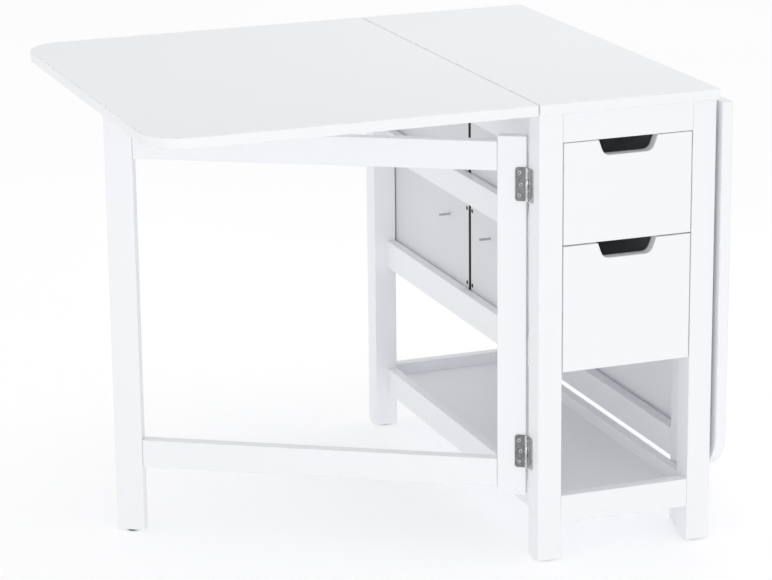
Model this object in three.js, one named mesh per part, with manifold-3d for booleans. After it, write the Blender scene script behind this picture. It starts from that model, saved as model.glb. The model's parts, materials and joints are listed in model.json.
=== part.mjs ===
// Gateleg table with a narrow cabinet of four drawers and an open shelf.
// A fixed middle board sits on four posts. A leaf is hinged to each long edge of it, and a gate
// with one leg swings out of each long side to carry its leaf. Two drawers open at each short end.
// The table is the same turned half round, so one half is built and placed twice.
// Here one leaf stands on its open gate, and the other hangs over its folded gate.
// Millimetres. +Z is up, X runs across the table and Y along it.
// The origin is under the middle of the whole table, on the floor.
import * as THREE from 'three';
import { mergeVertices } from 'three/addons/utils/BufferGeometryUtils.js';
import Module from 'manifold-3d';

const wasm = await Module();
wasm.setup();

// ---- Tops ----
const tableHeight = 750;
const topThickness = 18;
const topLength = 796;
const topWidth = 305; // the fixed middle board
const leafWidth = 615.5;
const leafCornerRadius = 70;
const leafJointGap = 2;
const leafLoweredAngle = 90; // degrees below level, for the leaf that hangs

// ---- Cabinet frame ----
const sideOverhang = 2; // top past the posts on the long sides
const endOverhang = 8; // top past the posts at the short ends
const sideRailThickness = 17;
const endRailThickness = 20;
const apronHeight = 47;
const topRailHeight = 82;
const middleRailHeight = 46;
const drawerRailHeight = 49;
const bottomRailHeight = 47;
const bottomRailBase = 62; // floor to the underside of the bottom rails
const shelfThickness = 15;
const shelfDrop = 21; // shelf surface below the bottom rails' top edge

// ---- Feet under the posts and the gate legs ----
const glideHeight = 3;
const postGlideRadius = 13;
const gateGlideRadius = 8.5; // the gate legs are thinner than the posts

// ---- Drawers ----
const upperFrontHeight = 163;
const lowerFrontHeight = 204.5;
const frontThickness = 18;
const frontTopGap = 1; // apron to upper front
const frontSplitGap = 2; // upper front to lower front
const frontSideGap = 1.5; // front to post
const boxSideInset = 0.5; // drawer sides in from the ends of the front
const boxWall = 12;
const boxHeadroom = 3; // lower drawer's sides below the runner above them
const upperBoxDrop = 12; // upper drawer's sides below the top of their front
const backGap = 11; // between drawers that stand back to back
const bottomThickness = 4;
const bottomRise = 8; // underside of the bottom panel above the drawer's lower edge
const grooveDepth = 5;
const grooveClearance = 0.3;
const notchTopWidth = 100; // finger notch in the top edge of each front
const notchBottomWidth = 82;
const notchDepth = 25;
const notchCornerRadius = 10;
const runnerWidth = 16;
const runnerHeight = 13.5;
const runnerGap = 0.5; // drawer above its runner
const pegRadius = 2.5; // stop pegs in the drawer sides
const pegGateGap = 2; // peg's end to the folded gate
const pegInset = 84.5; // peg from the back end of its drawer
const upperPegDrop = 23; // peg below the rail that is over it
const lowerPegDrop = 48;

// ---- Gates ----
const gateThickness = 20;
const gateRailGap = 3; // folded gate to the side rails behind it
const gateJointGap = 0.3; // glue line between the gate's pieces
const stileWidth = 46;
const legWidth = 46;
const gateRailHeight = 47;
const gateTopRailDrop = 51; // leaf's underside to the top rail's top edge
const gateLowerRailBase = 113.5;
const stileTopRise = 9; // stile past the top rail
const stileBottomDrop = 12; // stile past the lower rail
const gateEndGap = 18; // folded gate to the far post
const legHeadroom = 0.5; // leg to the leaf that it carries
const legInset = 33; // open leg's outer corner in from the leaf's long edge

// ---- Hinges ----
const gateHingeOffset = 3; // axis out from the faces that the flaps are screwed to
const leafHingeOffset = 3.5;
const leafFlapRailGap = 2; // leaf hinge's top flap to the top rail
const gateHingeGap = 2; // post to stile when folded
const upperHingeDrop = 20; // gate top rail's lower edge to the upper hinge's middle
const lowerHingeRise = 15.5; // gate lower rail's upper edge to the lower hinge's middle
const leafHingeInset = 178; // end of the board to the middle of a leaf hinge
const knuckleGap = 0.3;
const knuckleRadialGap = 0.4;
const pinGap = 0.3;
const flapGap = 0.5; // each flap's edge to the plane between the two flaps
const flapSeatGap = 0.3; // flap to the wood under it

// ---- Heights and faces that several pieces share ----
const underside = tableHeight - topThickness;
const postSize = gateThickness + gateRailGap + sideRailThickness; // rails lie flush inside the posts
const postX = topWidth / 2 - sideOverhang; // outer faces of the posts
const postY = topLength / 2 - endOverhang;
const innerX = postX - postSize; // inner faces of the posts
const innerY = postY - postSize;
const railOuterX = innerX + sideRailThickness;
const endRailInnerY = postY - endRailThickness;
const bottomRailTop = bottomRailBase + bottomRailHeight;
const upperFrontTop = underside - apronHeight - frontTopGap;
const upperDrawerBase = upperFrontTop - upperFrontHeight;
const lowerFrontTop = upperDrawerBase - frontSplitGap;
const lowerDrawerBase = lowerFrontTop - lowerFrontHeight;
const upperRunnerBase = upperDrawerBase - runnerGap - runnerHeight;
const lowerRunnerBase = lowerDrawerBase - runnerGap - runnerHeight;
const gateTopRailTop = underside - gateTopRailDrop;
const gateTopRailBase = gateTopRailTop - gateRailHeight;
const gateLowerRailTop = gateLowerRailBase + gateRailHeight;
const gatePinX = postX + gateHingeOffset;
const gatePinY = innerY - gateHingeGap / 2;
const gateReach = gatePinY + innerY - gateEndGap; // pin to the leg's outer edge
const leafPinX = topWidth / 2 + leafJointGap / 2;
const leafPinZ = underside - leafHingeOffset;
const legThrow = leafJointGap / 2 + leafWidth - legInset; // open leg's corner from the leaf's pin
const gateOpenAngle = Math.asin(Math.min(1, legThrow / gateReach));
const raisedExtent = leafPinX + leafJointGap / 2 + leafWidth;
const hangingExtent = leafPinX + leafHingeOffset + topThickness;

const gateHinge = {
  length: 54,
  flapWidth: 18.5,
  flapThickness: 1.2,
  barrelRadius: 2.7,
  pinRadius: 1.3,
  faceOffset: gateHingeOffset,
};
const leafHinge = {
  length: 60,
  flapWidth: leafPinX - railOuterX - leafFlapRailGap,
  flapThickness: 2,
  barrelRadius: 3,
  pinRadius: 1.4,
  faceOffset: leafHingeOffset,
};

// ---- Materials ----
const paint = () => new THREE.MeshStandardMaterial({ color: 0xf1f2f5, roughness: 0.38, metalness: 0 });
const steel = () => new THREE.MeshStandardMaterial({ color: 0x707274, roughness: 0.35, metalness: 0.9 });

// ---- Shape helpers ----
// A board from its low and high coordinate on each axis.
function board([x0, x1], [y0, y1], [z0, z1]) {
  const geometry = new THREE.BoxGeometry(1, 1, 1);
  const corner = geometry.attributes.position;
  for (let i = 0; i < corner.count; i += 1) {
    corner.setXYZ(
      i,
      corner.getX(i) < 0 ? x0 : x1,
      corner.getY(i) < 0 ? y0 : y1,
      corner.getZ(i) < 0 ? z0 : z1,
    );
  }
  return geometry;
}

// An upright round bar from z0 to z1.
function upright(radius, x, y, z0, z1, sides = 16) {
  const geometry = new THREE.CylinderGeometry(radius, radius, z1 - z0, sides);
  geometry.rotateX(Math.PI / 2);
  geometry.translate(x, y, (z0 + z1) / 2);
  return geometry;
}

// A round bar along X from x0 to x1.
function crosswise(radius, x0, x1, y, z, sides = 12) {
  const geometry = new THREE.CylinderGeometry(radius, radius, x1 - x0, sides);
  geometry.rotateZ(Math.PI / 2);
  geometry.translate((x0 + x1) / 2, y, z);
  return geometry;
}

function toSolid(geometry) {
  const plain = geometry.clone();
  plain.deleteAttribute('normal');
  plain.deleteAttribute('uv');
  const merged = mergeVertices(plain, 1e-5);
  return new wasm.Manifold(new wasm.Mesh({
    numProp: 3,
    vertProperties: merged.attributes.position.array,
    triVerts: new Uint32Array(merged.index.array),
  }));
}

function toGeometry(solid) {
  const mesh = solid.getMesh();
  const geometry = new THREE.BufferGeometry();
  geometry.setAttribute('position', new THREE.BufferAttribute(mesh.vertProperties, 3));
  geometry.setIndex(new THREE.BufferAttribute(mesh.triVerts, 1));
  geometry.computeVertexNormals();
  return geometry;
}

// The first shape with some joined to it and then some cut from it.
function shaped(first, joined, cut) {
  let solid = toSolid(first);
  for (const geometry of joined) solid = solid.add(toSolid(geometry));
  for (const geometry of cut) solid = solid.subtract(toSolid(geometry));
  return toGeometry(solid);
}

function place(parent, name, geometry, material) {
  const mesh = new THREE.Mesh(geometry, material);
  mesh.name = name;
  parent.add(mesh);
}

// ---- Legs: a bar standing on a round glide ----
function leg([x0, x1], [y0, y1], top, radius = postGlideRadius) {
  const bar = board([x0, x1], [y0, y1], [glideHeight, top]);
  const glide = upright(radius, (x0 + x1) / 2, (y0 + y1) / 2, 0, 2 * glideHeight);
  return shaped(bar, [glide], []);
}

// ---- Butt hinges ----
// The axis is Z through the origin. The flaps lie on a face at x = faceOffset: the fixed flap
// reaches to -Y and holds the outer knuckles and the pin, and the moving flap reaches to +Y and
// holds the middle knuckle.
function flapX({ flapThickness, faceOffset }) {
  const seat = faceOffset - flapSeatGap;
  return [seat - flapThickness, seat];
}

function fixedFlap(hinge) {
  const { length, flapWidth, barrelRadius, pinRadius } = hinge;
  const end = length / 2;
  const step = length / 6;
  const flap = board(flapX(hinge), [-flapWidth, -flapGap], [-end, end]);
  const plate = toGeometry(toSolid(flap).subtract(
    toSolid(upright(barrelRadius + knuckleRadialGap, 0, 0, -step, step)),
  ));
  const knuckles = [upright(barrelRadius, 0, 0, -end, -step), upright(barrelRadius, 0, 0, step, end)];
  return shaped(plate, [...knuckles, upright(pinRadius, 0, 0, -end, end)], []);
}

function movingFlap(hinge) {
  const { length, flapWidth, barrelRadius, pinRadius } = hinge;
  const end = length / 2;
  const step = length / 6 - knuckleGap;
  const flap = board(flapX(hinge), [flapGap, flapWidth], [-end, end]);
  const relief = barrelRadius + knuckleRadialGap;
  return shaped(flap, [upright(barrelRadius, 0, 0, -step, step)], [
    upright(relief, 0, 0, -end - 1, -step),
    upright(relief, 0, 0, step, end + 1),
    upright(pinRadius + pinGap, 0, 0, -end - 1, end + 1),
  ]);
}

// ---- Drawers ----
// The piece cut from a front's top edge: its sides lean in and its lower corners are round.
function notch(top) {
  const upper = notchTopWidth / 2;
  const lower = notchBottomWidth / 2;
  const lean = (upper - lower) / notchDepth;
  const r = notchCornerRadius;
  const past = 1;
  const shape = new THREE.Shape();
  shape.moveTo(-upper - lean * past, past);
  shape.lineTo(-lower - lean * r, r - notchDepth);
  shape.quadraticCurveTo(-lower, -notchDepth, r - lower, -notchDepth);
  shape.lineTo(lower - r, -notchDepth);
  shape.quadraticCurveTo(lower, -notchDepth, lower + lean * r, r - notchDepth);
  shape.lineTo(upper + lean * past, past);
  shape.closePath();
  const geometry = new THREE.ExtrudeGeometry(shape, {
    depth: frontThickness + 2 * past,
    bevelEnabled: false,
    curveSegments: 4,
  });
  geometry.rotateX(Math.PI / 2);
  geometry.translate(0, frontThickness + past - postY, top);
  return geometry;
}

// Drawer at the -Y end: a front, a three-sided box with stop pegs, and a bottom panel in grooves.
function addDrawer(parent, name, base, frontTop, boxTop, pegZ) {
  const frontX = innerX - frontSideGap;
  const boxX = frontX - boxSideInset;
  const wallX = boxX - boxWall;
  const frontBackY = frontThickness - postY;
  const backY = -backGap / 2;
  const wallY = backY - boxWall;
  const panelZ = [base + bottomRise, base + bottomRise + bottomThickness];
  const panelX = wallX + grooveDepth - grooveClearance;
  const panelY = [frontBackY - grooveDepth + grooveClearance, wallY + grooveDepth - grooveClearance];
  const groove = board(
    [-wallX - grooveDepth, wallX + grooveDepth],
    [frontBackY - grooveDepth, wallY + grooveDepth],
    [panelZ[0] - grooveClearance, panelZ[1] + grooveClearance],
  );
  const front = board([-frontX, frontX], [-postY, frontBackY], [base, frontTop]);
  const cavity = board([-wallX, wallX], [frontBackY - 1, wallY], [base - 1, boxTop + 1]);
  const box = board([-boxX, boxX], [frontBackY, backY], [base, boxTop]);
  const pegY = backY - pegInset;
  const pegRoot = boxX - boxWall / 2;
  const pegEnd = postX - gateThickness - pegGateGap;
  const pegs = [
    crosswise(pegRadius, -pegEnd, -pegRoot, pegY, pegZ),
    crosswise(pegRadius, pegRoot, pegEnd, pegY, pegZ),
  ];
  place(parent, `${name}_front`, shaped(front, [], [notch(frontTop), groove]), paint());
  place(parent, `${name}_box`, shaped(box, pegs, [cavity, groove]), paint());
  place(parent, `${name}_bottom`, board([-panelX, panelX], panelY, panelZ), paint());
}

// ---- Gate, folded along +Y from a pin at the origin; the outer face looks to -X ----
function addGate(pin, side) {
  const x = [gateHingeOffset, gateHingeOffset + gateThickness];
  const near = gateHingeGap / 2;
  const legY = [gateReach - legWidth, gateReach];
  const railY = [near + stileWidth + gateJointGap, legY[0] - gateJointGap];
  const stileZ = [gateLowerRailBase - stileBottomDrop, gateTopRailTop + stileTopRise];
  place(pin, `${side}_gate_stile`, board(x, [near, near + stileWidth], stileZ), paint());
  place(pin, `${side}_gate_leg`, leg(x, legY, underside - legHeadroom, gateGlideRadius), paint());
  place(pin, `${side}_gate_top_rail`, board(x, railY, [gateTopRailBase, gateTopRailTop]), paint());
  place(pin, `${side}_gate_lower_rail`, board(x, railY, [gateLowerRailBase, gateLowerRailTop]), paint());
}

function addGateHinges(fixed, pin, side) {
  const heights = {
    upper: gateTopRailBase - upperHingeDrop,
    lower: gateLowerRailTop + lowerHingeRise,
  };
  for (const [level, z] of Object.entries(heights)) {
    const post = fixedFlap(gateHinge);
    post.translate(-gatePinX, -gatePinY, z);
    place(fixed, `${side}_gate_${level}_hinge_post_flap`, post, steel());
    const gate = movingFlap(gateHinge);
    gate.translate(0, 0, z);
    place(pin, `${side}_gate_${level}_hinge_gate_flap`, gate, steel());
  }
}

// ---- Leaf, level and reaching to -X from a pin at the origin ----
function leafBoard() {
  const near = -leafJointGap / 2;
  const far = near - leafWidth;
  const end = topLength / 2;
  const r = leafCornerRadius;
  const shape = new THREE.Shape();
  shape.moveTo(near, -end);
  shape.lineTo(near, end);
  shape.lineTo(far + r, end);
  shape.absarc(far + r, end - r, r, Math.PI / 2, Math.PI, false);
  shape.lineTo(far, r - end);
  shape.absarc(far + r, r - end, r, Math.PI, 1.5 * Math.PI, false);
  shape.closePath();
  const geometry = new THREE.ExtrudeGeometry(shape, {
    depth: topThickness,
    bevelEnabled: false,
    curveSegments: 10,
  });
  geometry.translate(0, 0, leafHingeOffset);
  return toGeometry(toSolid(geometry));
}

function addLeaf(fixed, pin, side, end, farEnd) {
  place(pin, `${side}_leaf`, leafBoard(), paint());
  const turn = new THREE.Matrix4().makeBasis(
    new THREE.Vector3(0, 0, 1),
    new THREE.Vector3(-1, 0, 0),
    new THREE.Vector3(0, -1, 0),
  );
  const hingeY = topLength / 2 - leafHingeInset;
  for (const [near, y] of [[end, -hingeY], [farEnd, hingeY]]) {
    const top = fixedFlap(leafHinge).applyMatrix4(turn);
    top.translate(-leafPinX, y, leafPinZ);
    place(fixed, `${side}_leaf_${near}_hinge_top_flap`, top, steel());
    const leaf = movingFlap(leafHinge).applyMatrix4(turn);
    leaf.translate(0, y, 0);
    place(pin, `${side}_leaf_${near}_hinge_leaf_flap`, leaf, steel());
  }
}

// ---- Half of the table: its -X side and its -Y end ----
function buildHalf({ side, end, farEnd, gateAngle, leafAngle }) {
  const half = new THREE.Group();
  const sideX = [-railOuterX, -innerX];
  const runnerX = [-innerX, runnerWidth - innerX];
  const between = [-innerY, innerY];
  const endY = [-postY, -endRailInnerY];
  const span = (base, height) => [base, base + height];

  place(half, `${end}_${side}_post`, leg([-postX, -innerX], [-postY, -innerY], underside), paint());
  place(half, `${farEnd}_${side}_post`, leg([-postX, -innerX], [innerY, postY], underside), paint());

  const sideRails = {
    top_rail: [underside - topRailHeight, underside],
    middle_rail: span(upperRunnerBase, middleRailHeight),
    drawer_rail: span(lowerRunnerBase, drawerRailHeight),
    bottom_rail: [bottomRailBase, bottomRailTop],
  };
  for (const [rail, z] of Object.entries(sideRails)) {
    place(half, `${side}_${rail}`, board(sideX, between, z), paint());
  }
  for (const [level, base] of [['upper', upperRunnerBase], ['lower', lowerRunnerBase]]) {
    place(half, `${side}_${level}_runner`, board(runnerX, between, span(base, runnerHeight)), paint());
  }
  const apronZ = [underside - apronHeight, underside];
  place(half, `${end}_apron`, board([-innerX, innerX], endY, apronZ), paint());
  const bottomRail = board([-innerX, innerX], endY, [bottomRailBase, bottomRailTop]);
  place(half, `${end}_bottom_rail`, bottomRail, paint());

  const upperBoxTop = upperFrontTop - upperBoxDrop;
  const upperPegZ = underside - topRailHeight - upperPegDrop;
  addDrawer(half, `${end}_upper_drawer`, upperDrawerBase, upperFrontTop, upperBoxTop, upperPegZ);
  const lowerBoxTop = upperRunnerBase - boxHeadroom;
  const lowerPegZ = upperRunnerBase - lowerPegDrop;
  addDrawer(half, `${end}_lower_drawer`, lowerDrawerBase, lowerFrontTop, lowerBoxTop, lowerPegZ);

  const gatePin = new THREE.Group();
  gatePin.position.set(-gatePinX, -gatePinY, 0);
  gatePin.rotation.z = gateAngle;
  half.add(gatePin);
  addGate(gatePin, side);
  addGateHinges(half, gatePin, side);

  const leafPin = new THREE.Group();
  leafPin.position.set(-leafPinX, 0, leafPinZ);
  leafPin.rotation.y = -leafAngle;
  half.add(leafPin);
  addLeaf(half, leafPin, side, end, farEnd);
  return half;
}

// ---- Whole table ----
const table = new THREE.Group();
table.position.x = (raisedExtent - hangingExtent) / 2;
const top = board([-topWidth / 2, topWidth / 2], [-topLength / 2, topLength / 2], [underside, tableHeight]);
place(table, 'fixed_top', top, paint());
const shelfZ = [bottomRailTop - shelfDrop - shelfThickness, bottomRailTop - shelfDrop];
const shelf = board([-innerX, innerX], [-endRailInnerY, endRailInnerY], shelfZ);
place(table, 'bottom_shelf', shelf, paint());
table.add(buildHalf({
  side: 'left',
  end: 'front',
  farEnd: 'rear',
  gateAngle: gateOpenAngle,
  leafAngle: 0,
}));
const otherHalf = buildHalf({
  side: 'right',
  end: 'rear',
  farEnd: 'front',
  gateAngle: 0,
  leafAngle: THREE.MathUtils.degToRad(leafLoweredAngle),
});
otherHalf.rotation.z = Math.PI;
table.add(otherHalf);

export default table;
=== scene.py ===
"""The looks of the gateleg table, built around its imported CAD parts. Metres, +Z up."""
import json
import math

import bmesh
import bpy
from mathutils import Matrix, Vector

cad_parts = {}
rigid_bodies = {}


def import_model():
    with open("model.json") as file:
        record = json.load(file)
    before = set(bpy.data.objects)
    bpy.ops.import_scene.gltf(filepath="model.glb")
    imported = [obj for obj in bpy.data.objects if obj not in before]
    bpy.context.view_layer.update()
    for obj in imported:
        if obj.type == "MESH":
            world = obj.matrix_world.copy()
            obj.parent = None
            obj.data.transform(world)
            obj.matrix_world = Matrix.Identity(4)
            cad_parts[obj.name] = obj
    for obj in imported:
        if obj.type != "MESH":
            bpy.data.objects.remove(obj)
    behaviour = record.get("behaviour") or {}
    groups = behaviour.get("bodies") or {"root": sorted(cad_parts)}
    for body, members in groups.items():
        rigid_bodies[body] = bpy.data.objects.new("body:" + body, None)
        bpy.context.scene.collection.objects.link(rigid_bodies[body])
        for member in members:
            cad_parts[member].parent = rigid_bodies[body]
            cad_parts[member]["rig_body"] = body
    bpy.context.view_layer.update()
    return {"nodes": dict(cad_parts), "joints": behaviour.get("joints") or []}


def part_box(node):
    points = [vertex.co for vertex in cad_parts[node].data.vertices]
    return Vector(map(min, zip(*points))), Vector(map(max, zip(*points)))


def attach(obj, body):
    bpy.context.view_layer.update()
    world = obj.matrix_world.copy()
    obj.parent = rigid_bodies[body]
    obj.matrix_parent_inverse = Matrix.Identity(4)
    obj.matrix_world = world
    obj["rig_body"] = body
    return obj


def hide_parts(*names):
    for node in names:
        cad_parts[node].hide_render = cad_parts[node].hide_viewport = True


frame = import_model()
nodes = frame["nodes"]
joints = {joint["name"]: joint for joint in frame["joints"]}

MM = 0.001
SIDES = ("left", "right")
ENDS = ("front", "rear")
LEVELS = ("upper", "lower")
UP = Vector((0, 0, 1))

# ---- Sizes of the details that only the looks have ----
BOARD_EDGE = 1.3 * MM  # rounding of the boards' long edges
TOP_EDGE = 2.0 * MM
THIN_EDGE = 0.8 * MM
FLAP_EDGE = 0.3 * MM
FLAP_CORNER = 4.5 * MM
FLAP_CORNER_SEGMENTS = 8
EDGE_SEGMENTS = 3
SHARP = math.radians(30)
MERGE = 1e-6
# Closes the slivers that rounding leaves on the hinge knuckles. It was chosen by trial, and a
# third or three times as much leaves a few open edges there.
WELD = 3e-6
NEAR = 0.1 * MM
FLAT = math.radians(0.5)
ROUNDED = 0.995  # a rounded face's normal is further than this from every flat face's
FACING = 0.99  # a face looks in a direction when its normal is at least this near
WIDE_SHARE = 0.35  # a vertex takes its normal from faces at least this share of its largest

GLIDE_HEIGHT = 3 * MM
POST_GLIDE_RADIUS = 13 * MM
GATE_GLIDE_RADIUS = 8.5 * MM
GLIDE_EDGE = 0.8 * MM

BOX_WALL = 12 * MM
GROOVE_HOLD = 4.7 * MM  # bottom panel inside the drawer's sides
BOX_SCREW_LOW = 43.5 * MM  # above the box's lower edge
BOX_SCREW_HIGH = 16.5 * MM  # below the box's upper edge

# A screw head: its outline in shares of its radius and rise, and its cross recess.
HEAD_PROFILE = ((1.0, -0.3), (1.0, 0.25), (0.93, 0.6), (0.78, 0.86), (0.62, 1.0))
HEAD_SIDES = 24
RECESS_ARM = 0.58  # of the radius, as the next
RECESS_HALF_WIDTH = 0.14
RECESS_TAPER = 0.85
RECESS_FLOOR = 0.1  # of the rise
BOX_SCREW = (3.6 * MM, 0.5 * MM)  # radius and rise
HINGE_SCREW = (3.0 * MM, 0.45 * MM)
SCREW_TURN = 5.0 / MM  # radians for each metre of its place: a flap's screws stand differently

# A stop screw: its thread, and its pan head.
STOP_SIDES = 20
STOP_ROOT = 1.0 * MM  # sunk in the drawer's side
STOP_ROOT_RADIUS = 1.6 * MM
THREAD_CORE = 1.7 * MM
THREAD_RADIUS = 2.15 * MM
THREAD_PITCH = 1.1 * MM
STOP_HEAD = 2.0 * MM
STOP_HEAD_RADIUS = 2.5 * MM
STOP_CLEAR = 0.6 * MM  # plain neck between the thread and the head

# A hinge's flaps. Each screw is given by its reach from the axis and its height from the middle.
GATE_HINGE = {
    "length": 54 * MM,
    "width": 18.5 * MM,
    "barrel": 2.7 * MM,
    "screws": ((12 * MM, 18 * MM), (9.6 * MM, 0), (12 * MM, -18 * MM)),
}
LEAF_HINGE = {
    "length": 60 * MM,
    "width": 24 * MM,
    "barrel": 3 * MM,
    "screws": ((17 * MM, 21 * MM), (11 * MM, 0), (17 * MM, -21 * MM)),
}

# ---- Camera ----
CAMERA_PLACE = Vector((-1.6235, -4.4874, 1.7234))
CAMERA_YAW = math.radians(18.665)
CAMERA_PITCH = math.radians(-15.838)
CAMERA_ROLL = math.radians(-1.071)
CAMERA_LENS = 138.65
CAMERA_SHIFT_X = 0.1069
CAMERA_SENSOR = 36
CAMERA_REACH = 200

# ---- Light and floor ----
FLOOR_SIZE = 40
FLOOR_GLOW = 0.25
WORLD_STRENGTH = 0.86
LIGHT_BOUNCES = 10
SOFTBOXES = (  # name, place, target, size, power
    ("front_softbox", (-1.2, -4.8, 0.9), (0.1, 0.0, 0.4), (3.5, 1.6), 30),
    ("top_softbox", (0.6, 0.2, 1.9), (0.3, 0.0, 0.7), (1.2, 1.2), 2.4),
)

# ---- Paint ----
GRAIN_STRETCH = 14.0  # the grain is this many times longer than it is wide
GRAIN_SCALE = 240.0
CLOUD_SCALE = 1.8
PEEL_SCALE = 620.0  # the fine pebbling of sprayed paint
RUB_SCALE = 46.0
GLOSS_SCALE = 7.0
CLOUD_DIM = 0.988
WORN = (0.95, 0.94, 0.92)  # of the colour, where an edge is rubbed
WORN_SHINE = 0.08
GRAIN_RELIEF = 1.6  # against the pebbling
PAINT_RELIEF = 0.004 * MM
PAINT_BUMP = 0.35

# ---- Metal and plastic ----
BRUSH_STRETCH = 22.0
SPOT_SCALE = 190.0
DULL = 0.62
BRIGHT = 1.55
METAL_RELIEF = 0.01 * MM
METAL_BUMP = 0.6
SCUFF_SCALE = 320.0
SCUFF_PALE = 1.9
SPARK_SCALE = 1800.0
PLASTIC_RELIEF = 0.02 * MM
PLASTIC_BUMP = 0.5


# ---- Materials ----
def add_node(tree, kind, inputs=None, **settings):
    """A new shader node, with its inputs linked or set."""
    node = tree.nodes.new("ShaderNode" + kind)
    for name, value in settings.items():
        setattr(node, name, value)
    for name, value in (inputs or {}).items():
        if isinstance(value, bpy.types.NodeSocket):
            tree.links.new(value, node.inputs[name])
        else:
            node.inputs[name].default_value = value
    return node


def new_material(name):
    material = bpy.data.materials.new(name)
    material.use_nodes = True
    tree = material.node_tree
    return material, tree, tree.nodes["Principled BSDF"]


def noise(tree, place, scale, detail=2.0):
    inputs = {"Vector": place, "Scale": scale, "Detail": detail}
    return add_node(tree, "TexNoise", inputs).outputs["Fac"]


def spread(tree, value, low, high, to_low, to_high):
    """value's range low..high turned into to_low..to_high and held there."""
    inputs = {
        "Value": value,
        "From Min": low,
        "From Max": high,
        "To Min": to_low,
        "To Max": to_high,
    }
    return add_node(tree, "MapRange", inputs).outputs["Result"]


def arithmetic(tree, operation, first, second):
    node = add_node(tree, "Math", operation=operation)
    for socket, value in zip(node.inputs, (first, second)):
        if isinstance(value, bpy.types.NodeSocket):
            tree.links.new(value, socket)
        else:
            socket.default_value = value
    return node.outputs[0]


def mixed(tree, share, first, second):
    """A colour between two colours."""
    node = add_node(tree, "Mix", data_type="RGBA")
    pairs = ((node.inputs[0], share), (node.inputs[6], first), (node.inputs[7], second))
    for socket, value in pairs:
        if isinstance(value, bpy.types.NodeSocket):
            tree.links.new(value, socket)
        else:
            socket.default_value = value
    return node.outputs[2]


def add_bump(tree, shader, height, distance, strength):
    """Relief on the shader's normal, distance high at a height of 1."""
    inputs = {"Height": height, "Distance": distance, "Strength": strength}
    bump = add_node(tree, "Bump", inputs)
    tree.links.new(bump.outputs["Normal"], shader.inputs["Normal"])


def paint(name, colour, turn, low_gloss=0.34, high_gloss=0.40):
    """Satin paint over wood whose grain lies along X after the turn."""
    material, tree, shader = new_material(name)
    place = add_node(tree, "TexCoord").outputs["Object"]
    along = add_node(
        tree,
        "Mapping",
        {"Vector": place, "Rotation": turn, "Scale": (GRAIN_STRETCH, 1.0, 1.0)},
        vector_type="TEXTURE",
    ).outputs["Vector"]
    edge = add_node(tree, "Attribute", attribute_name="edge").outputs["Fac"]

    cloud = spread(tree, noise(tree, place, CLOUD_SCALE, 1.0), 0.3, 0.7, 0.0, 1.0)
    grain = noise(tree, along, GRAIN_SCALE, 3.0)
    peel = noise(tree, place, PEEL_SCALE, 1.0)
    rub = spread(tree, noise(tree, place, RUB_SCALE, 4.0), 0.42, 0.68, 0.0, 1.0)

    dim = tuple(CLOUD_DIM * part for part in colour) + (1.0,)
    full = tuple(colour) + (1.0,)
    worn = tuple(share * part for share, part in zip(WORN, colour)) + (1.0,)
    tone = mixed(tree, cloud, dim, full)
    grained = spread(tree, grain, 0.35, 0.75, 0.0, 0.3)
    tone = mixed(tree, grained, tone, dim)
    wear = arithmetic(tree, "MULTIPLY", edge, rub)
    tone = mixed(tree, wear, tone, worn)
    tree.links.new(tone, shader.inputs["Base Color"])

    gloss = spread(tree, noise(tree, place, GLOSS_SCALE), 0.3, 0.7, low_gloss, high_gloss)
    shine = arithmetic(tree, "MULTIPLY", wear, WORN_SHINE)
    gloss = arithmetic(tree, "SUBTRACT", gloss, shine)
    tree.links.new(gloss, shader.inputs["Roughness"])

    relief = arithmetic(tree, "MULTIPLY", grain, GRAIN_RELIEF)
    relief = arithmetic(tree, "ADD", relief, peel)
    add_bump(tree, shader, relief, PAINT_RELIEF, PAINT_BUMP)
    return material


def metal(name, colour, roughness, scratch_scale):
    """Brushed metal: fine lines along Z, dull spots and brighter edges."""
    material, tree, shader = new_material(name)
    place = add_node(tree, "TexCoord").outputs["Object"]
    along = add_node(
        tree,
        "Mapping",
        {"Vector": place, "Scale": (1.0, 1.0, BRUSH_STRETCH)},
        vector_type="TEXTURE",
    ).outputs["Vector"]
    lines = noise(tree, along, scratch_scale, 4.0)
    spots = spread(tree, noise(tree, place, SPOT_SCALE, 3.0), 0.35, 0.7, 0.0, 1.0)
    edge = add_node(tree, "Attribute", attribute_name="edge").outputs["Fac"]
    full = tuple(colour) + (1.0,)
    dull = tuple(DULL * part for part in colour) + (1.0,)
    bright = tuple(min(1.0, BRIGHT * part) for part in colour) + (1.0,)
    tone = mixed(tree, spots, full, dull)
    tone = mixed(tree, arithmetic(tree, "MULTIPLY", edge, lines), tone, bright)
    tree.links.new(tone, shader.inputs["Base Color"])
    shader.inputs["Metallic"].default_value = 1.0
    gloss = spread(tree, lines, 0.3, 0.7, roughness - 0.07, roughness + 0.1)
    tree.links.new(gloss, shader.inputs["Roughness"])
    add_bump(tree, shader, lines, METAL_RELIEF, METAL_BUMP)
    return material


def plastic(name, colour):
    """Moulded plastic with a fine spark texture and scuffs."""
    material, tree, shader = new_material(name)
    place = add_node(tree, "TexCoord").outputs["Object"]
    scuff = spread(tree, noise(tree, place, SCUFF_SCALE, 4.0), 0.45, 0.7, 0.0, 1.0)
    full = tuple(colour) + (1.0,)
    pale = tuple(SCUFF_PALE * part for part in colour) + (1.0,)
    tree.links.new(mixed(tree, scuff, full, pale), shader.inputs["Base Color"])
    tree.links.new(spread(tree, scuff, 0.0, 1.0, 0.42, 0.62), shader.inputs["Roughness"])
    add_bump(tree, shader, noise(tree, place, SPARK_SCALE, 1.0), PLASTIC_RELIEF, PLASTIC_BUMP)
    return material


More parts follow.
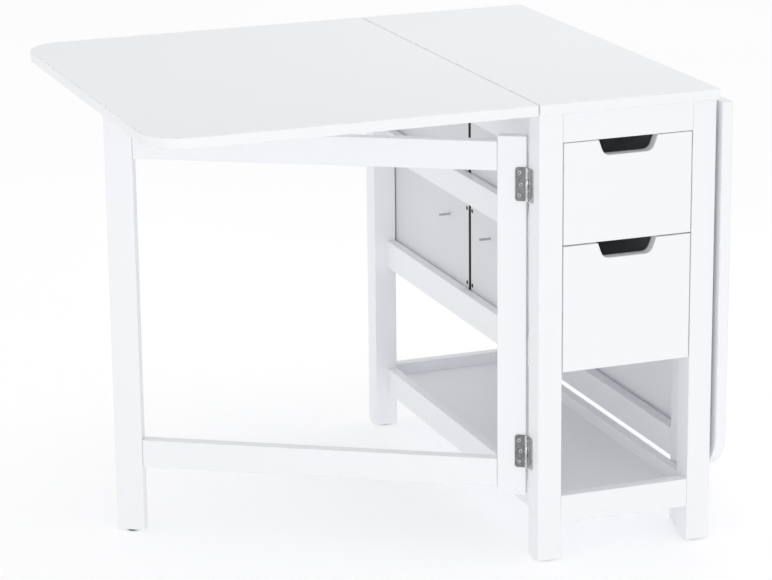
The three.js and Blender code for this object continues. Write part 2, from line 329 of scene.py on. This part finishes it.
def floor_material():
    """A pale studio floor that glows a little, as a lit sweep does."""
    material, tree, shader = new_material("studio_floor")
    place = add_node(tree, "TexCoord").outputs["Object"]
    cloud = spread(tree, noise(tree, place, 0.8, 2.0), 0.3, 0.7, 0.0, 1.0)
    tone = mixed(tree, cloud, (0.83, 0.83, 0.835, 1.0), (0.85, 0.85, 0.855, 1.0))
    tree.links.new(tone, shader.inputs["Base Color"])
    shader.inputs["Roughness"].default_value = 0.9
    shader.inputs["Specular IOR Level"].default_value = 0.1
    shader.inputs["Emission Color"].default_value = (1.0, 1.0, 1.0, 1.0)
    shader.inputs["Emission Strength"].default_value = FLOOR_GLOW
    return material


PAINT = (0.875, 0.885, 0.905)
# The drawer boxes' outsides and bottoms are painted darker than their insides: painted shade for
# the shade under the leaf.
DRAWER_PAINTED_SHADE = (0.715, 0.722, 0.74)
GAP_SHADE_COLOUR = (0.05, 0.05, 0.053)  # painted shade: near black on the rear ends of the drawers' side boards, for the shaded gap behind the drawers
QUARTER = math.pi / 2
LEAF_DROP = {"left": 0.0, "right": QUARTER}
gate_angle = {
    side: math.radians(-joints[f"{side}_gate_swing"]["range_deg"][0]) for side in SIDES
}
paint_across = paint("paint_across", PAINT, (0, 0, 0))
paint_along = paint("paint_along", PAINT, (0, 0, QUARTER))
paint_upright = paint("paint_upright", PAINT, (0, -QUARTER, 0))
paint_gate = {
    side: paint(f"paint_{side}_gate", PAINT, (0, 0, QUARTER + gate_angle[side]))
    for side in SIDES
}
paint_top = paint("paint_top", PAINT, (0, 0, QUARTER), 0.28, 0.33)
drawer_box_painted_shade = paint("drawer_box_painted_shade", DRAWER_PAINTED_SHADE, (0, 0, QUARTER), 0.42, 0.5)
drawer_inside = paint("drawer_inside", PAINT, (0, 0, QUARTER), 0.42, 0.5)
board_end_painted_shade = paint("board_end_painted_shade", GAP_SHADE_COLOUR, (0, 0, 0), 0.6, 0.7)
hinge_metal = metal("hinge_metal", (0.25, 0.255, 0.26), 0.34, 420.0)
# A lighter copy of the same hinge steel, for the post flaps: painted reflection.
hinge_metal_painted_reflection = metal("hinge_metal_painted_reflection", (0.62, 0.625, 0.63), 0.3, 420.0)
# The knuckles' steel is paler than the flaps': a painted highlight along the barrel.
knuckle_metal_painted_highlight = metal("knuckle_metal_painted_highlight", (0.72, 0.725, 0.73), 0.2, 420.0)
screw_metal = metal("screw_metal", (0.42, 0.42, 0.43), 0.3, 900.0)
stop_metal = metal("stop_metal", (0.48, 0.48, 0.49), 0.32, 900.0)
# Near black: the box screws' own black, and painted shade in every cross recess.
black_screw_and_recess_shade = metal("black_screw_and_recess_shade", (0.012, 0.012, 0.013), 0.5, 900.0)
glide_plastic = plastic("glide_plastic", (0.05, 0.05, 0.052))


# ---- Mesh helpers ----
def clean_copy(node):
    """A CAD node's surface with each flat face in one piece."""
    work = bmesh.new()
    work.from_mesh(nodes[node].data)
    bmesh.ops.remove_doubles(work, verts=work.verts, dist=MERGE)
    bmesh.ops.dissolve_limit(
        work, angle_limit=FLAT, verts=work.verts[:], edges=work.edges[:]
    )
    return work


def round_edges(work, radius):
    """Rounds every sharp edge, and marks the rounded faces as edge."""
    mark = work.loops.layers.float_color.get("edge")
    mark = mark or work.loops.layers.float_color.new("edge")
    work.normal_update()
    flats = {tuple(round(part, 2) for part in face.normal) for face in work.faces}
    sharp = [e for e in work.edges if e.is_manifold and e.calc_face_angle(0) > SHARP]
    bmesh.ops.bevel(
        work,
        geom=sharp,
        offset=radius,
        offset_type="OFFSET",
        segments=EDGE_SEGMENTS,
        profile=0.5,
        affect="EDGES",
        clamp_overlap=True,
    )
    bmesh.ops.remove_doubles(work, dist=WELD, verts=work.verts[:])
    work.normal_update()
    for face in work.faces:
        rounded = all(face.normal.dot(Vector(flat)) < ROUNDED for flat in flats)
        for loop in face.loops:
            loop[mark] = (1.0, 1.0, 1.0, 1.0) if rounded else (0.0, 0.0, 0.0, 1.0)


def board(low, high):
    """A plain board between two corners, as a bmesh."""
    work = bmesh.new()
    bmesh.ops.create_cube(work, size=1.0)
    for vertex in work.verts:
        vertex.co = [high[i] if vertex.co[i] > 0 else low[i] for i in range(3)]
    return work


def join(parts):
    """Several bmeshes in one."""
    whole = bmesh.new()
    whole.loops.layers.float_color.new("edge")
    for part in parts:
        mesh = bpy.data.meshes.new("part")
        part.to_mesh(mesh)
        part.free()
        whole.from_mesh(mesh)
        bpy.data.meshes.remove(mesh)
    return whole


def add_band(work, lower, upper):
    """The faces between two loops of as many points."""
    count = len(lower)
    faces = []
    for i in range(count):
        j = (i + 1) % count
        faces.append(work.faces.new((lower[i], lower[j], upper[j], upper[i])))
    return faces


def turned(profile, sides):
    """A turned shape from (radius, height) pairs, from its closed foot to its open top."""
    work = bmesh.new()
    turns = [2 * math.pi * i / sides for i in range(sides)]
    rings = []
    for radius, height in profile:
        ring = [(radius * math.cos(t), radius * math.sin(t), height) for t in turns]
        rings.append([work.verts.new(point) for point in ring])
    for lower, upper in zip(rings, rings[1:]):
        add_band(work, lower, upper)
    work.faces.new(list(reversed(rings[0])))
    return work, rings[-1]


def lathe(profile, sides=32):
    """A turned shape closed at both ends."""
    work, top = turned(profile, sides)
    work.faces.new(top)
    return work


def face_normals(mesh):
    """Each vertex's normal, taken from its widest faces, so that flat faces shade flat."""
    around = [[] for _ in mesh.vertices]
    for polygon in mesh.polygons:
        for index in polygon.vertices:
            around[index].append((polygon.area, polygon.normal))
    normals = []
    for faces in around:
        widest = max((area for area, _ in faces), default=0.0)
        wide = [area * normal for area, normal in faces if area >= WIDE_SHARE * widest]
        normals.append(sum(wide, Vector()).normalized())
    return normals


def finish_piece(work, name, body, materials, replaced=()):
    """The bmesh as a shown piece that rides on a CAD body."""
    work.normal_update()
    mesh = bpy.data.meshes.new(name)
    work.to_mesh(mesh)
    work.free()
    mesh.shade_smooth()
    mesh.normals_split_custom_set_from_vertices(face_normals(mesh))
    for material in materials:
        mesh.materials.append(material)
    piece = bpy.data.objects.new(name, mesh)
    bpy.context.scene.collection.objects.link(piece)
    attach(piece, body)
    if replaced:
        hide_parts(*replaced)
    return piece


def body_of(node):
    return nodes[node]["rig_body"]


def soften(node, radius, material):
    """The CAD node's own shape with its edges rounded."""
    work = clean_copy(node)
    round_edges(work, radius)
    return finish_piece(work, node + "_painted", body_of(node), [material], [node])


# ---- Screw heads ----
def cross_outline(arm, half_width):
    """The outline of a cross recess, anticlockwise."""
    quarter = [(arm, -half_width), (arm, half_width), (half_width, half_width)]
    points = []
    for turn in range(4):
        c, s = ((1, 0), (0, 1), (-1, 0), (0, -1))[turn]
        points += [(x * c - y * s, x * s + y * c) for x, y in quarter]
    return points


def screw_head(radius, rise):
    """A low domed head that looks to +Z from z = 0. Its cross recess is material 1, which takes
    near-black painted shade.
    """
    profile = [(share * radius, height * rise) for share, height in HEAD_PROFILE]
    work, _ = turned(profile, HEAD_SIDES)
    outline = cross_outline(RECESS_ARM * radius, RECESS_HALF_WIDTH * radius)
    brim = [work.verts.new((x, y, rise)) for x, y in outline]
    sunk = [
        work.verts.new((RECESS_TAPER * x, RECESS_TAPER * y, RECESS_FLOOR * rise))
        for x, y in outline
    ]
    for face in [*add_band(work, brim, sunk), work.faces.new(sunk)]:
        face.material_index = 1
    work.edges.ensure_lookup_table()
    rims = [e for e in work.edges if e.is_boundary]
    bmesh.ops.triangle_fill(work, use_beauty=True, use_dissolve=False, edges=rims)
    bmesh.ops.recalc_face_normals(work, faces=work.faces[:])
    return work


def turn_about(axis, angle):
    return Matrix.Rotation(angle, 4, axis)


def looking(direction):
    """A turn that takes +Z to the direction."""
    return Vector(direction).to_track_quat("Z", "Y").to_matrix().to_4x4()


# ---- Boards of the cabinet ----
def make_cabinet():
    soften("fixed_top", TOP_EDGE, paint_top)
    soften("bottom_shelf", THIN_EDGE, paint_along)
    for end in ENDS:
        soften(f"{end}_apron", BOARD_EDGE, paint_across)
        soften(f"{end}_bottom_rail", BOARD_EDGE, paint_across)
        for side in SIDES:
            make_leg(f"{end}_{side}_post", POST_GLIDE_RADIUS)
    for side in SIDES:
        for rail in ("top_rail", "middle_rail", "drawer_rail", "bottom_rail"):
            soften(f"{side}_{rail}", BOARD_EDGE, paint_along)
        for level in LEVELS:
            soften(f"{side}_{level}_runner", THIN_EDGE, paint_along)


def make_leg(node, glide_radius):
    """A bar on a separate plastic glide. The bar stands under the node's top face."""
    work = clean_copy(node)
    top = max(vertex.co.z for vertex in work.verts)
    corners = [v.co.copy() for v in work.verts if v.co.z > top - MM]
    work.free()
    middle = sum(corners, Vector()) / len(corners)
    corners.sort(key=lambda c: math.atan2(c.y - middle.y, c.x - middle.x))
    work = bmesh.new()
    upper = [work.verts.new(corner) for corner in corners]
    lower = [work.verts.new((c.x, c.y, GLIDE_HEIGHT)) for c in corners]
    work.faces.new(upper)
    work.faces.new(list(reversed(lower)))
    add_band(work, lower, upper)
    round_edges(work, BOARD_EDGE)
    body = body_of(node)
    finish_piece(work, node + "_painted", body, [paint_upright], [node])

    glide = lathe(
        [
            (glide_radius - 2 * GLIDE_EDGE, 0),
            (glide_radius - GLIDE_EDGE / 2, GLIDE_EDGE / 2),
            (glide_radius, GLIDE_EDGE),
            (glide_radius, GLIDE_HEIGHT - GLIDE_EDGE / 2),
            (glide_radius - GLIDE_EDGE, GLIDE_HEIGHT),
        ]
    )
    bmesh.ops.translate(glide, verts=glide.verts, vec=(middle.x, middle.y, 0))
    finish_piece(glide, node + "_glide", body, [glide_plastic])


# ---- Drawers ----
def colour_faces(wall, direction, index):
    """Gives a material to the wall's faces that look in the direction."""
    for face in wall.faces:
        if face.normal.dot(direction) > FACING:
            face.material_index = index


def make_drawer(end, level):
    """A drawer's front, bottom and box, with its screws. Its body has the same name."""
    name = f"{end}_{level}_drawer"
    soften(f"{name}_front", BOARD_EDGE, paint_across)
    soften(f"{name}_bottom", THIN_EDGE / 2, drawer_box_painted_shade)

    panel_low, panel_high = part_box(f"{name}_bottom")
    box_low, box_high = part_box(f"{name}_box")
    middle = (panel_low.x + panel_high.x) / 2
    inner = (panel_high.x - panel_low.x) / 2 - GROOVE_HOLD
    outer = inner + BOX_WALL
    y = (box_low.y, box_high.y)
    z = (box_low.z, box_high.z)
    walls = []
    for sign in (-1, 1):
        near, far = sorted((middle + sign * inner, middle + sign * outer))
        walls.append(board((near, y[0], z[0]), (far, y[1], z[1])))
    back = (y[1] - BOX_WALL, y[1]) if end == "front" else (y[0], y[0] + BOX_WALL)
    walls.append(
        board((middle - inner, back[0], z[0]), (middle + inner, back[1], z[1]))
    )
    behind = Vector((0, 1 if end == "front" else -1, 0))
    # Inner faces take the plain paint. The rest of the box keeps the darker painted shade.
    for wall, inside in zip(walls, (Vector((1, 0, 0)), Vector((-1, 0, 0)), -behind)):
        round_edges(wall, THIN_EDGE)
        colour_faces(wall, inside, 1)
    # The side boards' rear ends take near-black painted shade, for the dark gap behind the
    # drawers.
    for wall in walls[:2]:
        colour_faces(wall, behind, 2)
    paints = [drawer_box_painted_shade, drawer_inside, board_end_painted_shade]
    finish_piece(
        join(walls), f"{name}_box_painted", name, paints, [f"{name}_box"]
    )

    heads = []
    screw_y = sum(back) / 2
    for sign in (-1, 1):
        for height in (z[0] + BOX_SCREW_LOW, z[1] - BOX_SCREW_HIGH):
            head = screw_head(*BOX_SCREW)
            place = Matrix.Translation((middle + sign * outer, screw_y, height))
            head.transform(place @ looking((sign, 0, 0)))
            heads.append(head)
    finish_piece(join(heads), f"{name}_box_screws", name, [black_screw_and_recess_shade] * 2)
    make_stops(name, middle, outer, box_high.x - middle)


def stop_screw(length):
    """A pan-head screw along +Z whose thread starts at z = 0."""
    neck = length - STOP_HEAD
    thread = [(STOP_ROOT_RADIUS, -STOP_ROOT)]
    for i in range(int((neck - STOP_CLEAR) / THREAD_PITCH)):
        thread.append((THREAD_CORE, i * THREAD_PITCH))
        thread.append((THREAD_RADIUS, (i + 0.5) * THREAD_PITCH))
    head = [
        (THREAD_CORE, neck - 0.2 * MM),
        (THREAD_CORE, neck),
        (STOP_HEAD_RADIUS, neck + 0.05 * MM),
        (STOP_HEAD_RADIUS, neck + 0.9 * MM),
        (2.1 * MM, neck + 1.6 * MM),
        (1.2 * MM, length - 0.02 * MM),
    ]
    return lathe(thread + head, STOP_SIDES)


def make_stops(name, middle, outer, tip):
    """The two stop screws in the drawer's sides, where the CAD box has its pegs."""
    mesh = nodes[f"{name}_box"].data
    ends = [v.co for v in mesh.vertices if abs(v.co.x - middle) > tip - NEAR]
    y = (min(c.y for c in ends) + max(c.y for c in ends)) / 2
    z = (min(c.z for c in ends) + max(c.z for c in ends)) / 2
    stops = []
    for sign in (-1, 1):
        stop = stop_screw(tip - outer)
        place = Matrix.Translation((middle + sign * outer, y, z))
        stop.transform(place @ looking((sign, 0, 0)))
        stops.append(stop)
    finish_piece(join(stops), f"{name}_stops", name, [stop_metal])


# ---- Gates and leaves ----
def make_gate(side):
    gate = f"{side}_gate"
    soften(f"{gate}_stile", BOARD_EDGE, paint_upright)
    make_leg(f"{gate}_leg", GATE_GLIDE_RADIUS)
    for rail in ("top_rail", "lower_rail"):
        soften(f"{gate}_{rail}", BOARD_EDGE, paint_gate[side])


# ---- Hinges ----
# A hinge's own frame has its axis along Z through the origin. Its flaps look to -X: the fixed
# one reaches to -Y and the moving one to +Y.
def make_flap(node, place, reach, hinge, material):
    """A hinge flap with round outer corners and its screws. place takes its own frame there."""
    length, width = hinge["length"], hinge["width"]
    work = clean_copy(node)
    work.transform(place.inverted())
    corners = []
    for edge in work.edges:
        first, second = (vertex.co for vertex in edge.verts)
        middle = (first + second) / 2
        if (
            reach * middle.y > width - NEAR
            and abs(middle.z) > length / 2 - NEAR
            and abs(first.x - second.x) > NEAR
        ):
            corners.append(edge)
    bmesh.ops.bevel(
        work, geom=corners, offset=FLAP_CORNER, offset_type="OFFSET",
        segments=FLAP_CORNER_SEGMENTS, profile=0.5, affect="EDGES",
    )
    round_edges(work, FLAP_EDGE)
    face = min(v.co.x for v in work.verts if reach * v.co.y > width / 2)
    # Faces around the axis take the paler knuckle steel, a painted highlight on the barrel.
    for polygon in work.faces:
        middle = polygon.calc_center_median()
        if math.hypot(middle.x, middle.y) < hinge["barrel"] + NEAR:
            polygon.material_index = 1
    work.transform(place)
    body = body_of(node)
    metals = [material, knuckle_metal_painted_highlight]
    finish_piece(work, node + "_steel", body, metals, [node])

    heads = []
    for y, z in hinge["screws"]:
        head = screw_head(*HINGE_SCREW)
        seat = Matrix.Translation((face, reach * y, z)) @ looking((-1, 0, 0))
        head.transform(place @ seat @ turn_about("Z", SCREW_TURN * (y + z)))
        heads.append(head)
    heads = join(heads)
    # The cross recesses take the near-black material as painted shade.
    metals = [screw_metal, black_screw_and_recess_shade]
    finish_piece(heads, node + "_screws", body, metals)


def make_gate_hinges(side):
    pin = joints[f"{side}_gate_swing"]["pos_m"]
    half_turn = turn_about("Z", 0 if side == "left" else math.pi)
    for level in LEVELS:
        post_flap = f"{side}_gate_{level}_hinge_post_flap"
        gate_flap = f"{side}_gate_{level}_hinge_gate_flap"
        low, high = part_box(post_flap)
        place = Matrix.Translation((pin[0], pin[1], (low.z + high.z) / 2)) @ half_turn
        # The post flaps take the lighter copy of the steel, a painted reflection.
        make_flap(post_flap, place, -1, GATE_HINGE, hinge_metal_painted_reflection)
        opened = place @ turn_about("Z", gate_angle[side])
        make_flap(gate_flap, opened, 1, GATE_HINGE, hinge_metal)


def make_leaf_hinges(side):
    pin = joints[f"{side}_leaf_lift"]["pos_m"]
    half_turn = turn_about("Z", 0 if side == "left" else math.pi)
    under = Matrix(((0, -1, 0, 0), (0, 0, -1, 0), (1, 0, 0, 0), (0, 0, 0, 1)))
    for end in ENDS:
        top_flap = f"{side}_leaf_{end}_hinge_top_flap"
        leaf_flap = f"{side}_leaf_{end}_hinge_leaf_flap"
        low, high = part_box(top_flap)
        place = Matrix.Translation((pin[0], (low.y + high.y) / 2, pin[2])) @ half_turn
        make_flap(top_flap, place @ under, -1, LEAF_HINGE, hinge_metal)
        dropped = place @ turn_about("Y", -LEAF_DROP[side])
        make_flap(leaf_flap, dropped @ under, 1, LEAF_HINGE, hinge_metal)


# ---- Studio ----
def make_floor():
    work = bmesh.new()
    bmesh.ops.create_grid(work, x_segments=24, y_segments=24, size=FLOOR_SIZE)
    mesh = bpy.data.meshes.new("studio_floor")
    work.to_mesh(mesh)
    work.free()
    mesh.materials.append(floor_material())
    floor = bpy.data.objects.new("studio_floor", mesh)
    bpy.context.scene.collection.objects.link(floor)


def make_light(name, place, target, size, power):
    data = bpy.data.lights.new(name, "AREA")
    data.shape = "RECTANGLE"
    data.size, data.size_y = size
    data.energy = power
    light = bpy.data.objects.new(name, data)
    light.location = place
    toward = Vector(target) - Vector(place)
    light.rotation_euler = toward.to_track_quat("-Z", "Y").to_euler()
    bpy.context.scene.collection.objects.link(light)


def make_studio():
    scene = bpy.context.scene
    world = bpy.data.worlds.new("studio")
    scene.world = world
    world.use_nodes = True
    background = world.node_tree.nodes["Background"]
    background.inputs["Color"].default_value = (1.0, 1.0, 1.0, 1.0)
    background.inputs["Strength"].default_value = WORLD_STRENGTH
    for softbox in SOFTBOXES:
        make_light(*softbox)
    scene.cycles.diffuse_bounces = LIGHT_BOUNCES
    scene.view_settings.view_transform = "Standard"
    scene.view_settings.look = "None"


def make_camera():
    """The camera stands at CAMERA_PLACE. Yaw is from +Y towards +X, and pitch is up."""
    yaw, pitch, roll = CAMERA_YAW, CAMERA_PITCH, CAMERA_ROLL
    ahead = Vector((math.sin(yaw), math.cos(yaw), 0))
    right = Vector((math.cos(yaw), -math.sin(yaw), 0))
    forward = ahead * math.cos(pitch) + UP * math.sin(pitch)
    above = UP * math.cos(pitch) - ahead * math.sin(pitch)
    side = right * math.cos(roll) + above * math.sin(roll)
    head = above * math.cos(roll) - right * math.sin(roll)
    data = bpy.data.cameras.new("camera")
    data.sensor_width = CAMERA_SENSOR
    data.lens = CAMERA_LENS
    data.shift_x = CAMERA_SHIFT_X
    data.clip_end = CAMERA_REACH
    camera = bpy.data.objects.new("camera", data)
    turn = Matrix((side, head, -forward)).transposed().to_4x4()
    camera.matrix_world = Matrix.Translation(CAMERA_PLACE) @ turn
    bpy.context.scene.collection.objects.link(camera)
    bpy.context.scene.camera = camera


make_cabinet()
for drawer_end in ENDS:
    for drawer_level in LEVELS:
        make_drawer(drawer_end, drawer_level)
for table_side in SIDES:
    make_gate(table_side)
    soften(f"{table_side}_leaf", TOP_EDGE, paint_top)
    make_gate_hinges(table_side)
    make_leaf_hinges(table_side)
make_floor()
make_studio()
make_camera()
